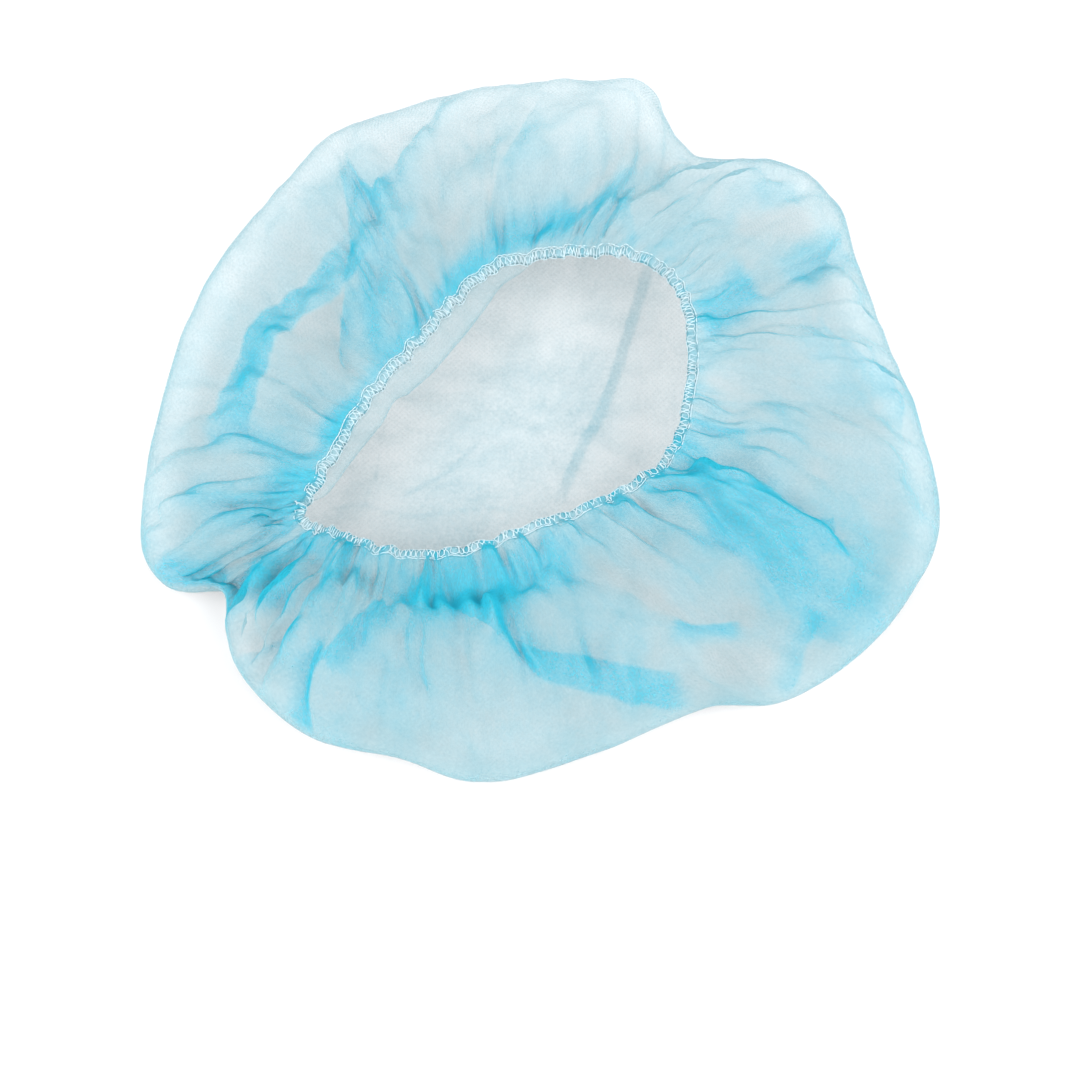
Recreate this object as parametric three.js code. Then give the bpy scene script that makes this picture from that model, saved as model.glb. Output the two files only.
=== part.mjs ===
// A disposable bouffant cap: one disc of thin non-woven fabric, gathered all round on an elastic loop.
// It lies on its crown with the opening up, puffed and creased as it comes out of the hand.
// Millimetres, +Z up. The origin is on the surface that the crown lies on, under the middle of the cap.
import * as THREE from "three";

// The puffed cap as it lies.
const capLength = 300; // left to right, along X
const capDepth = 293; // near to far, along Y
const edgeHeight = 19; // floor to the widest line, where the fabric turns under
const puffHeight = 55; // floor to the crest of the puff all round the opening
const fabricWall = 1.2; // the fabric with its fine crumple
const crownTuck = 24; // how far in from the widest line the fabric meets the floor

// The opening and its elastic.
const openingLength = 147; // along X
const openingDepth = 125; // along Y
const openingShiftX = -16; // the opening's middle, from the cap's middle
const openingShiftY = -6;
const openingHeight = 42; // floor to the middle of the elastic at its highest
const elasticWidth = 3.6; // across the elastic, flat in the plane of the opening
const elasticThick = 2.2;
const hemClearance = 0.3; // between the elastic and the hem rolled round it
const hemTurn = 215; // degrees that the hem wraps round the elastic

// Gathers and how the mesh is cut.
const gatherCount = 27;
const gatherDepth = 3.2; // of one gather, crest to mean, where it is deepest
const gatherPeak = 9; // from the elastic out to where the gathers are deepest
const gatherReach = 42; // over which they then die away
const foldStart = 26; // from the elastic out to where the long folds have their full height
const creaseFoot = 0.3; // how much of a crown crease's foot is flattened by the cap's own weight
const columnsPerGather = 4;
const elasticSides = 6;

// Meridians, anticlockwise from the right: the point where each crosses the widest line (edgeX, edgeY, as
// shares of half the cap) and the elastic (rimX, rimY, as shares of half the opening), how high the elastic
// stands there (lift, of openingHeight) and how high the puff rises (puff, of puffHeight).
const meridians = [
  { edgeX: 0.97, edgeY: -0.04, rimX: 0.99, rimY: 0.12, lift: 1.0, puff: 0.92 },
  { edgeX: 0.91, edgeY: 0.16, rimX: 1.0, rimY: 0.39, lift: 1.0, puff: 0.9 },
  { edgeX: 0.845, edgeY: 0.42, rimX: 0.98, rimY: 0.61, lift: 1.0, puff: 0.9 },
  { edgeX: 0.8, edgeY: 0.6, rimX: 0.92, rimY: 0.77, lift: 1.0, puff: 0.94 },
  { edgeX: 0.71, edgeY: 0.7, rimX: 0.82, rimY: 0.9, lift: 0.98, puff: 0.92 },
  { edgeX: 0.58, edgeY: 0.74, rimX: 0.69, rimY: 0.98, lift: 0.97, puff: 0.88 },
  { edgeX: 0.43, edgeY: 0.76, rimX: 0.55, rimY: 1.0, lift: 0.96, puff: 0.84 },
  { edgeX: 0.39, edgeY: 0.8, rimX: 0.46, rimY: 1.0, lift: 0.96, puff: 0.84 },
  { edgeX: 0.27, edgeY: 0.985, rimX: 0.32, rimY: 0.99, lift: 0.96, puff: 0.9 },
  { edgeX: 0.05, edgeY: 1.0, rimX: 0.14, rimY: 0.96, lift: 0.95, puff: 0.92 },
  { edgeX: -0.16, edgeY: 0.98, rimX: -0.04, rimY: 0.89, lift: 0.94, puff: 0.9 },
  { edgeX: -0.37, edgeY: 0.92, rimX: -0.18, rimY: 0.74, lift: 0.94, puff: 0.86 },
  { edgeX: -0.56, edgeY: 0.84, rimX: -0.3, rimY: 0.57, lift: 0.94, puff: 0.84 },
  { edgeX: -0.68, edgeY: 0.7, rimX: -0.43, rimY: 0.37, lift: 0.93, puff: 0.84 },
  { edgeX: -0.83, edgeY: 0.47, rimX: -0.57, rimY: 0.18, lift: 0.91, puff: 0.83 },
  { edgeX: -0.93, edgeY: 0.24, rimX: -0.7, rimY: -0.04, lift: 0.88, puff: 0.82 },
  { edgeX: -0.98, edgeY: -0.01, rimX: -0.82, rimY: -0.29, lift: 0.84, puff: 0.8 },
  { edgeX: -1.0, edgeY: -0.19, rimX: -0.91, rimY: -0.5, lift: 0.79, puff: 0.78 },
  { edgeX: -0.99, edgeY: -0.41, rimX: -0.99, rimY: -0.64, lift: 0.75, puff: 0.77 },
  { edgeX: -0.92, edgeY: -0.5, rimX: -0.99, rimY: -0.72, lift: 0.74, puff: 0.74 },
  { edgeX: -0.79, edgeY: -0.51, rimX: -0.93, rimY: -0.78, lift: 0.75, puff: 0.7 },
  { edgeX: -0.77, edgeY: -0.62, rimX: -0.86, rimY: -0.81, lift: 0.77, puff: 0.76 },
  { edgeX: -0.73, edgeY: -0.73, rimX: -0.77, rimY: -0.85, lift: 0.8, puff: 0.82 },
  { edgeX: -0.55, edgeY: -0.89, rimX: -0.64, rimY: -0.92, lift: 0.84, puff: 0.9 },
  { edgeX: -0.35, edgeY: -0.94, rimX: -0.45, rimY: -0.99, lift: 0.89, puff: 0.95 },
  { edgeX: -0.15, edgeY: -1.0, rimX: -0.22, rimY: -0.99, lift: 0.93, puff: 1.0 },
  { edgeX: 0.13, edgeY: -0.93, rimX: 0.07, rimY: -0.89, lift: 0.96, puff: 1.0 },
  { edgeX: 0.41, edgeY: -0.81, rimX: 0.35, rimY: -0.77, lift: 0.98, puff: 0.97 },
  { edgeX: 0.58, edgeY: -0.8, rimX: 0.56, rimY: -0.66, lift: 1.0, puff: 0.95 },
  { edgeX: 0.79, edgeY: -0.67, rimX: 0.74, rimY: -0.54, lift: 1.0, puff: 0.95 },
  { edgeX: 0.93, edgeY: -0.5, rimX: 0.87, rimY: -0.39, lift: 1.0, puff: 0.95 },
  { edgeX: 1.0, edgeY: -0.34, rimX: 0.95, rimY: -0.15, lift: 1.0, puff: 0.94 },
];

// Long folds of the upper fabric, seen from above: both ends as shares of half the cap, the spread across
// the fold and its rise (a dent where negative) as shares of puffHeight.
const upperFolds = [
  { fromX: -0.18, fromY: 0.4, toX: 0.42, toY: 0.74, spread: 0.23, rise: -0.17 },
  { fromX: -0.24, fromY: 0.36, toX: 0.26, toY: 0.94, spread: 0.19, rise: 0.11 },
  { fromX: -0.47, fromY: 0.5, toX: -0.8, toY: 0.08, spread: 0.23, rise: -0.14 },
  { fromX: -0.42, fromY: 0.32, toX: -0.5, toY: 0.0, spread: 0.19, rise: -0.11 },
  { fromX: 0.0, fromY: 0.82, toX: -0.17, toY: 0.46, spread: 0.19, rise: 0.09 },
  { fromX: -0.58, fromY: -0.17, toX: -0.9, toY: -0.08, spread: 0.2, rise: -0.12 },
  { fromX: -0.62, fromY: -0.4, toX: -0.82, toY: -0.5, spread: 0.22, rise: -0.2 },
  { fromX: -0.58, fromY: -0.46, toX: -0.7, toY: -0.76, spread: 0.18, rise: -0.14 },
  { fromX: -0.44, fromY: -0.58, toX: -0.58, toY: -0.84, spread: 0.18, rise: 0.1 },
  { fromX: -0.4, fromY: -0.6, toX: 0.24, toY: -0.46, spread: 0.2, rise: -0.13 },
  { fromX: -0.12, fromY: -0.62, toX: 0.4, toY: -0.78, spread: 0.2, rise: -0.11 },
  { fromX: 0.08, fromY: -0.56, toX: 0.82, toY: -0.66, spread: 0.2, rise: -0.12 },
  { fromX: 0.36, fromY: -0.3, toX: 0.68, toY: -0.48, spread: 0.2, rise: 0.11 },
  { fromX: 0.46, fromY: 0.2, toX: 0.72, toY: 0.36, spread: 0.22, rise: -0.13 },
  { fromX: 0.5, fromY: -0.06, toX: 0.82, toY: -0.02, spread: 0.22, rise: -0.1 },
  { fromX: 0.48, fromY: 0.46, toX: 0.66, toY: 0.6, spread: 0.2, rise: -0.12 },
  { fromX: 0.76, fromY: 0.3, toX: 0.88, toY: -0.3, spread: 0.16, rise: 0.09 },
];

// Creases that stand up from the crown where it lies on the floor, in the same columns.
const crownCreases = [
  { fromX: 0.25, fromY: 0.46, toX: 0.05, toY: -0.2, spread: 0.2, rise: 0.08 },
  { fromX: -0.46, fromY: -0.16, toX: 0.05, toY: -0.16, spread: 0.2, rise: 0.06 },
  { fromX: -0.46, fromY: -0.16, toX: -0.06, toY: 0.16, spread: 0.2, rise: 0.05 },
];

// Rows of the mesh, as shares: out over the puff from the elastic to the widest line, down round the tuck
// (degrees of its quarter turn), and in over the crown from the tuck to the crown's middle.
const puffRows = [0.08, 0.16, 0.26, 0.37, 0.48, 0.6, 0.71, 0.82, 0.91, 0.97];
const tuckRows = [0, 35, 65, 90];
const crownRows = [0.3, 0.58, 0.82];
const hemRows = 4;

const halfLength = capLength / 2;
const halfDepth = capDepth / 2;
const columnCount = gatherCount * columnsPerGather;
const hemStep = hemTurn / hemRows;
const hemFlats = Math.cos(THREE.MathUtils.degToRad(hemStep / 2)); // flats of the hem's facets, over its corners
const hemHalfWidth = (elasticWidth / 2 + hemClearance + fabricWall / 2) / hemFlats;
const hemHalfHeight = (elasticThick / 2 + hemClearance + fabricWall / 2) / hemFlats;

const loopThrough = (points) => new THREE.CatmullRomCurve3(points, true, "centripetal");
const smooth = (share) => THREE.MathUtils.smoothstep(share, 0, 1);

const edgeLoop = loopThrough(
  meridians.map((m) => new THREE.Vector3(m.edgeX * halfLength, m.edgeY * halfDepth, edgeHeight)),
);
const elasticLoop = loopThrough(
  meridians.map(
    (m) =>
      new THREE.Vector3(
        openingShiftX + (m.rimX * openingLength) / 2,
        openingShiftY + (m.rimY * openingDepth) / 2,
        m.lift * openingHeight,
      ),
  ),
);
const crestLoop = loopThrough(meridians.map((m) => new THREE.Vector3(m.puff * puffHeight, 0, 0)));

// Curve parameters of the mesh's columns, evenly spaced along the elastic and the widest line together.
function columnPlaces() {
  const stepCount = columnCount * 12;
  const travelled = [0];
  for (let step = 1; step <= stepCount; step++) {
    const before = (step - 1) / stepCount;
    const after = step / stepCount;
    const moved =
      elasticLoop.getPoint(before).distanceTo(elasticLoop.getPoint(after)) +
      edgeLoop.getPoint(before).distanceTo(edgeLoop.getPoint(after));
    travelled.push(travelled[step - 1] + moved);
  }
  const places = [];
  let step = 0;
  for (let column = 0; column < columnCount; column++) {
    const wanted = (travelled[stepCount] * column) / columnCount;
    while (travelled[step + 1] < wanted) step++;
    const within = (wanted - travelled[step]) / (travelled[step + 1] - travelled[step]);
    places.push((step + within) / stepCount);
  }
  return places;
}
const places = columnPlaces();

// Level direction out of the opening, square to the elastic.
function outwardAt(place) {
  const along = elasticLoop.getTangent(place);
  return new THREE.Vector3(along.y, -along.x, 0).normalize();
}

// Rise of a set of long folds at a point seen from above.
function foldRise(folds, x, y) {
  let rise = 0;
  for (const fold of folds) {
    const from = new THREE.Vector2(fold.fromX * halfLength, fold.fromY * halfDepth);
    const to = new THREE.Vector2(fold.toX * halfLength, fold.toY * halfDepth);
    const run = to.clone().sub(from);
    const here = new THREE.Vector2(x, y).sub(from);
    const along = THREE.MathUtils.clamp(here.dot(run) / run.lengthSq(), 0, 1);
    const away = here.distanceTo(run.multiplyScalar(along)) / (fold.spread * puffHeight);
    rise += fold.rise * puffHeight * Math.exp(-away * away);
  }
  return rise;
}

// One gather wave, uneven from gather to gather.
function gatherWave(column) {
  const gather = column / columnsPerGather;
  const unevenness = 0.75 + 0.25 * Math.sin(2.7 * gather + 1.1) * Math.cos(1.3 * gather);
  return unevenness * Math.sin(2 * Math.PI * gather);
}

function gatherSize(distance) {
  const rising = smooth(distance / gatherPeak);
  const dying = Math.exp(-Math.max(0, distance - gatherPeak) / gatherReach);
  return gatherDepth * rising * dying;
}

// The hem's rings: the fabric wraps round the elastic from below, and leaves it over the top.
function hemRing(row) {
  const angle = THREE.MathUtils.degToRad(90 + hemTurn - hemStep * row);
  return places.map((place) => {
    const middle = elasticLoop.getPoint(place);
    const outward = outwardAt(place);
    return middle
      .addScaledVector(outward, hemHalfWidth * Math.cos(angle))
      .add(new THREE.Vector3(0, 0, hemHalfHeight * Math.sin(angle)));
  });
}

// A ring of the puffed upper fabric, at a share of the way from the elastic to the widest line.
function puffRing(share) {
  return places.map((place, column) => {
    const start = elasticLoop.getPoint(place);
    start.z += hemHalfHeight;
    const edge = edgeLoop.getPoint(place);
    const crest = Math.max(crestLoop.getPoint(place).x, start.z);
    const top = start.z + (crest - start.z) * smooth(share / 0.35);
    const dome = Math.pow(1 - Math.pow(share, 2.6), 1 / 1.9);
    const point = start.clone().lerp(edge, share);
    point.z = edgeHeight + (top - edgeHeight) * dome;
    const distance = share * Math.hypot(edge.x - start.x, edge.y - start.y);
    const clearOfHem = smooth(distance / foldStart) * smooth((1 - share) * 4);
    point.z += gatherSize(distance) * gatherWave(column) * smooth((1 - share) * 3);
    point.z += foldRise(upperFolds, point.x, point.y) * clearOfHem;
    return point;
  });
}

// A ring of the quarter turn by which the fabric goes from the widest line down to the floor.
function tuckRing(degrees) {
  const angle = THREE.MathUtils.degToRad(degrees);
  return places.map((place, column) => {
    const edge = edgeLoop.getPoint(place);
    const inward = new THREE.Vector3(-edge.x, -edge.y, 0).normalize();
    const point = edge.addScaledVector(inward, crownTuck * (1 - Math.cos(angle)));
    const ripple = 0.25 * gatherDepth * gatherWave(column) * Math.cos(angle);
    point.addScaledVector(inward, -ripple);
    point.z = fabricWall / 2 + (edgeHeight - fabricWall / 2) * (1 - Math.sin(angle));
    return point;
  });
}

function crownHeight(x, y) {
  return fabricWall / 2 + Math.max(0, foldRise(crownCreases, x, y) - creaseFoot);
}

// A ring of the crown on the floor, at a share of the way from the tuck to the crown's middle.
function crownRing(share) {
  return tuckRing(90).map((tuck) => {
    const point = tuck.multiplyScalar(1 - share);
    point.z = crownHeight(point.x, point.y);
    return point;
  });
}

// Triangles between each ring and the next, closed on the middle point if there is one.
function ringFaces(ringCount, perRing, hasMiddle) {
  const faces = [];
  for (let ring = 0; ring + 1 < ringCount; ring++) {
    for (let column = 0; column < perRing; column++) {
      const next = (column + 1) % perRing;
      const [a, b] = [ring * perRing + column, ring * perRing + next];
      const [c, d] = [a + perRing, b + perRing];
      faces.push([a, c, b], [b, c, d]);
    }
  }
  const lastRing = (ringCount - 1) * perRing;
  for (let column = 0; hasMiddle && column < perRing; column++) {
    faces.push([lastRing + column, ringCount * perRing, lastRing + ((column + 1) % perRing)]);
  }
  return faces;
}

function geometryOf(points, faces) {
  const geometry = new THREE.BufferGeometry().setFromPoints(points);
  geometry.setIndex(faces.flat());
  geometry.computeVertexNormals();
  return geometry;
}

// A wall of even thickness about a sheet that is open at its first ring.
function wallAbout(rings, middle, thickness) {
  const perRing = rings[0].length;
  const points = [...rings.flat(), middle];
  const faces = ringFaces(rings.length, perRing, true);
  const normals = geometryOf(points, faces).getAttribute("normal");
  const shifted = (side) =>
    points.map((point, index) => {
      const normal = new THREE.Vector3().fromBufferAttribute(normals, index);
      return point.clone().addScaledVector(normal, (side * thickness) / 2);
    });
  const innerStart = points.length;
  const inner = faces.map(([a, b, c]) => [innerStart + a, innerStart + c, innerStart + b]);
  const lip = [];
  for (let column = 0; column < perRing; column++) {
    const next = (column + 1) % perRing;
    lip.push([column, next, innerStart + column], [next, innerStart + next, innerStart + column]);
  }
  return geometryOf([...shifted(1), ...shifted(-1)], [...faces, ...inner, ...lip]);
}

function capFabric() {
  const rings = [];
  for (let row = 0; row <= hemRows; row++) rings.push(hemRing(row));
  for (const share of puffRows) rings.push(puffRing(share));
  for (const degrees of tuckRows) rings.push(tuckRing(degrees));
  for (const share of crownRows) rings.push(crownRing(share));
  const middle = new THREE.Vector3(0, 0, crownHeight(0, 0));
  return wallAbout(rings, middle, fabricWall);
}

function elasticBand() {
  const points = [];
  for (const place of places) {
    const outward = outwardAt(place);
    for (let side = 0; side < elasticSides; side++) {
      const angle = (2 * Math.PI * side) / elasticSides;
      points.push(
        elasticLoop
          .getPoint(place)
          .addScaledVector(outward, (elasticWidth / 2) * Math.cos(angle))
          .add(new THREE.Vector3(0, 0, (elasticThick / 2) * Math.sin(angle))),
      );
    }
  }
  const faces = [];
  for (let column = 0; column < columnCount; column++) {
    const nextColumn = (column + 1) % columnCount;
    for (let side = 0; side < elasticSides; side++) {
      const nextSide = (side + 1) % elasticSides;
      const [a, b] = [column * elasticSides + side, column * elasticSides + nextSide];
      const [c, d] = [nextColumn * elasticSides + side, nextColumn * elasticSides + nextSide];
      faces.push([a, c, b], [b, c, d]);
    }
  }
  return geometryOf(points, faces);
}

const fabricMaterial = new THREE.MeshStandardMaterial({
  color: 0xa9dcec,
  roughness: 0.85,
  metalness: 0,
  transparent: true,
  opacity: 0.45,
  side: THREE.DoubleSide,
});
const elasticMaterial = new THREE.MeshStandardMaterial({ color: 0xe9f3f6, roughness: 0.7, metalness: 0 });

function named(name, geometry, material) {
  const mesh = new THREE.Mesh(geometry, material);
  mesh.name = name;
  return mesh;
}

const cap = new THREE.Group();
const fabric = named("cap_fabric", capFabric(), fabricMaterial);
cap.add(fabric, named("elastic_band", elasticBand(), elasticMaterial));

// The origin goes under the middle of the cap, on the floor.
const extent = new THREE.Box3().setFromObject(fabric, true);
const middle = extent.getCenter(new THREE.Vector3());
cap.position.set(-middle.x, -middle.y, -extent.min.z);

export default cap;
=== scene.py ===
import math

import bmesh
import bpy
import numpy as np
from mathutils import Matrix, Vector


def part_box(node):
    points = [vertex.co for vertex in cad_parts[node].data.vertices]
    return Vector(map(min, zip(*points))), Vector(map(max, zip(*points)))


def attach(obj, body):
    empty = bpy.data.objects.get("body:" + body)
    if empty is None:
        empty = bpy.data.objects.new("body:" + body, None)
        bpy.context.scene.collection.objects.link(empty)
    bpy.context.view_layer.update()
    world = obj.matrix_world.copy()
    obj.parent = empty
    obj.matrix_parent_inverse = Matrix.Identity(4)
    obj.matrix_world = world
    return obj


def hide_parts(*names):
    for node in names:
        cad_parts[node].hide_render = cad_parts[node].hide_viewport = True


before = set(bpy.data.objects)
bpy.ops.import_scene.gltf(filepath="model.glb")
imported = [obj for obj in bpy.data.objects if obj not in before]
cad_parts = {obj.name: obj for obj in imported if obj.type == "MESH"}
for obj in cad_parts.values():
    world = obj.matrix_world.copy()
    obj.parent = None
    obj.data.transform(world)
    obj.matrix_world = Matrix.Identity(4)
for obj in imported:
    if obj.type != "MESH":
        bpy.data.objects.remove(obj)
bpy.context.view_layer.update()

scene = bpy.context.scene

# Camera and light, as in the photo: steeply from above, a plain bright studio.
studio = {
    "lens": 70.0,
    "distance": 0.803,
    "elevation": 65.0,
    "aimHeight": 0.025,
    "imageSide": 1080,
    "aimPixelY": 398,  # where the aim point sits in the photo, from the top
    "floorSide": 8.0,
    "floorColour": (0.82, 0.82, 0.82, 1.0),
    "floorGlow": 0.088,  # lit a little from below too, as in the photo
    "worldColour": (0.98, 0.98, 1.0, 1.0),
    "worldStrength": 0.74,
    # place, size and power of each soft box; all look at the cap
    "softBoxes": [
        ("keyLight", (0.8, -0.45, 1.2), 0.9, 13.2),
        ("fillLight", (-0.8, -0.5, 1.1), 1.0, 12.1),
        ("backLight", (-0.15, 1.15, 0.85), 0.8, 1.1),
    ],
}


def makeCamera():
    lift = math.radians(studio["elevation"])
    data = bpy.data.cameras.new("photoCamera")
    data.lens = studio["lens"]
    data.sensor_width = 36.0
    data.clip_start = 0.01
    data.clip_end = 50.0
    data.shift_y = (studio["aimPixelY"] - studio["imageSide"] / 2) / studio["imageSide"]
    camera = bpy.data.objects.new("photoCamera", data)
    scene.collection.objects.link(camera)
    away = studio["distance"]
    camera.location = (0, -away * math.cos(lift), studio["aimHeight"] + away * math.sin(lift))
    camera.rotation_euler = (math.pi / 2 - lift, 0, 0)
    scene.camera = camera


def makeSoftBoxes():
    for name, place, side, power in studio["softBoxes"]:
        data = bpy.data.lights.new(name, "AREA")
        data.shape = "SQUARE"
        data.size = side
        data.energy = power
        lamp = bpy.data.objects.new(name, data)
        lamp.location = place
        lamp.rotation_euler = (-Vector(place)).to_track_quat("-Z", "Y").to_euler()
        scene.collection.objects.link(lamp)
    world = bpy.data.worlds.new("studioWorld")
    world.use_nodes = True
    background = world.node_tree.nodes["Background"]
    background.inputs["Color"].default_value = studio["worldColour"]
    background.inputs["Strength"].default_value = studio["worldStrength"]
    scene.world = world


makeCamera()
makeSoftBoxes()
scene.view_settings.view_transform = "Standard"
scene.cycles.transparent_max_bounces = 32  # the light passes many thin layers
scene.cycles.max_bounces = 4
scene.cycles.diffuse_bounces = 1
scene.cycles.glossy_bounces = 1
scene.cycles.use_light_tree = False  # quicker for three large soft boxes
print("camera and lights made")

# The puffed cap as it lies. Metres; the same sizes as the CAD model.
capForm = {
    "length": 0.300,
    "depth": 0.293,
    "edgeHeight": 0.019,
    "puffHeight": 0.055,
    "crownTuck": 0.024,
    "openingLength": 0.147,
    "openingDepth": 0.125,
    "openingShift": (-0.016, -0.006),
    "openingHeight": 0.042,
    "elasticWidth": 0.0036,
    "elasticThick": 0.0022,
    "hemSlack": 0.00025,  # between the elastic and the thin fabric rolled round it
    "rimWaver": 0.00045,  # how unevenly the hem runs
    "flatRadius": 0.2665,  # of the disc that the cap is cut from
    "flatArea": 0.2231,
    "fabricThick": 0.00014,
    "columns": 490,
    "lipRows": 4,
    "hemRows": 5,
    "puffRows": 45,
    "tuckRows": 6,
    "crownRows": 40,
    "crestShare": 0.35,  # of the way out, where the puff is at its highest
    "domeReach": 2.6,  # the higher, the further out the puff stays high
    "domeFall": 1.9,  # and the steeper it then falls
    "puffRowCrowding": 1.25,  # packs the rows of the mesh towards the elastic
    "crownRowCrowding": 0.7,  # and towards the middle of the crown
    "calmReach": 0.12,  # share of the puff next to its widest line where it is drawn smooth
    "reliefStart": 0.016,  # from the elastic, over which swells and folds rise
    "crumpleStart": 0.010,
    "bunchStart": 0.003,
    "calmCrumple": 0.1,  # share of the crumple left along the widest line
    "crownCrumple": 0.35,  # how crumpled the crown lies, against the puff
    "floorGap": 0.0003,
    "hemStart": 235,  # where round the elastic the hem begins, degrees from outwards
    "hemOverlap": 70,  # degrees that the free end rolls on under the elastic
    "shortLip": 0.001,  # up to here the free end is rolled under, and past longLip it hangs
    "longLip": 0.004,
    "lipInward": 0.85,  # shares of its length that a hanging lip runs inwards and down
    "lipDown": 0.35,
    "lipCurl": 0.5,
    # the lip's layers are set a little under its one real layer so that it reads paler: painted light
    # against the shade under the hem
    "lipLayers": 0.7,
    "lipEdgeLayers": 0.6,  # added where the fabric's free end turns back
}

# Meridians, anticlockwise from the right. Shares: edgeX, edgeY of half the cap at its widest line,
# rimX, rimY of half the opening, lift of openingHeight, puff of puffHeight; the lip below the rim in metres;
# and how strongly the fabric is gathered there.
meridians = [
    (0.97, -0.04, 0.99, 0.12, 1.0, 0.92, 0.001, 0.65),
    (0.91, 0.16, 1.0, 0.39, 1.0, 0.9, 0.001, 0.65),
    (0.845, 0.42, 0.98, 0.61, 1.0, 0.9, 0.001, 0.65),
    (0.8, 0.6, 0.92, 0.77, 1.0, 0.94, 0.001, 0.6),
    (0.71, 0.7, 0.82, 0.9, 0.98, 0.92, 0.001, 0.6),
    (0.58, 0.74, 0.69, 0.98, 0.97, 0.88, 0.001, 0.6),
    (0.43, 0.76, 0.55, 1.0, 0.96, 0.84, 0.002, 0.6),
    (0.39, 0.8, 0.46, 1.0, 0.96, 0.84, 0.002, 0.55),
    (0.27, 0.985, 0.32, 0.99, 0.96, 0.9, 0.002, 0.5),
    (0.05, 1.0, 0.14, 0.96, 0.95, 0.92, 0.003, 0.3),
    (-0.16, 0.98, -0.04, 0.89, 0.94, 0.9, 0.006, 0.3),
    (-0.37, 0.92, -0.18, 0.74, 0.94, 0.86, 0.009, 0.3),
    (-0.56, 0.84, -0.3, 0.57, 0.94, 0.84, 0.010, 0.3),
    (-0.68, 0.7, -0.43, 0.37, 0.93, 0.84, 0.010, 0.3),
    (-0.83, 0.47, -0.57, 0.18, 0.91, 0.83, 0.009, 0.3),
    (-0.93, 0.24, -0.7, -0.04, 0.88, 0.82, 0.008, 0.5),
    (-0.98, -0.01, -0.82, -0.29, 0.84, 0.8, 0.006, 0.6),
    (-1.0, -0.19, -0.91, -0.5, 0.79, 0.78, 0.004, 0.7),
    (-0.99, -0.41, -0.99, -0.64, 0.75, 0.77, 0.002, 0.8),
    (-0.92, -0.5, -0.99, -0.72, 0.74, 0.74, 0.001, 0.9),
    (-0.79, -0.51, -0.93, -0.78, 0.75, 0.7, 0.001, 1.0),
    (-0.77, -0.62, -0.86, -0.81, 0.77, 0.76, 0.001, 1.0),
    (-0.73, -0.73, -0.77, -0.85, 0.8, 0.82, 0.001, 1.0),
    (-0.55, -0.89, -0.64, -0.92, 0.84, 0.9, 0.001, 1.0),
    (-0.35, -0.94, -0.45, -0.99, 0.89, 0.95, 0.001, 1.0),
    (-0.15, -1.0, -0.22, -0.99, 0.93, 1.0, 0.001, 1.0),
    (0.13, -0.93, 0.07, -0.89, 0.96, 1.0, 0.001, 0.9),
    (0.41, -0.81, 0.35, -0.77, 0.98, 0.97, 0.001, 0.8),
    (0.58, -0.8, 0.56, -0.66, 1.0, 0.95, 0.001, 0.8),
    (0.79, -0.67, 0.74, -0.54, 1.0, 0.95, 0.001, 0.9),
    (0.93, -0.5, 0.87, -0.39, 1.0, 0.95, 0.001, 1.0),
    (1.0, -0.34, 0.95, -0.15, 1.0, 0.94, 0.001, 0.75),
]

# Soft swells and dents of the upper fabric. Shares: fromX, fromY, toX, toY of half the cap, then the spread
# across and the rise as shares of puffHeight.
swells = [
    (-0.18, 0.4, 0.42, 0.74, 0.23, -0.17),
    (-0.24, 0.36, 0.26, 0.94, 0.19, 0.11),
    (-0.47, 0.5, -0.8, 0.08, 0.23, -0.14),
    (-0.42, 0.32, -0.5, 0.0, 0.19, -0.11),
    (0.0, 0.82, -0.17, 0.46, 0.19, 0.09),
    (-0.58, -0.17, -0.9, -0.08, 0.2, -0.12),
    (-0.62, -0.4, -0.82, -0.5, 0.22, -0.2),
    (-0.58, -0.46, -0.7, -0.76, 0.18, -0.14),
    (-0.44, -0.58, -0.58, -0.84, 0.18, 0.1),
    (-0.4, -0.6, 0.24, -0.46, 0.2, -0.13),
    (-0.12, -0.62, 0.4, -0.78, 0.2, -0.11),
    (0.08, -0.56, 0.82, -0.66, 0.2, -0.12),
    (0.36, -0.3, 0.68, -0.48, 0.2, 0.11),
    (0.46, 0.2, 0.72, 0.36, 0.22, -0.13),
    (0.5, -0.06, 0.82, -0.02, 0.22, -0.1),
    (0.48, 0.46, 0.66, 0.6, 0.2, -0.12),
    (0.76, 0.3, 0.88, -0.3, 0.16, 0.09),
]

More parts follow.
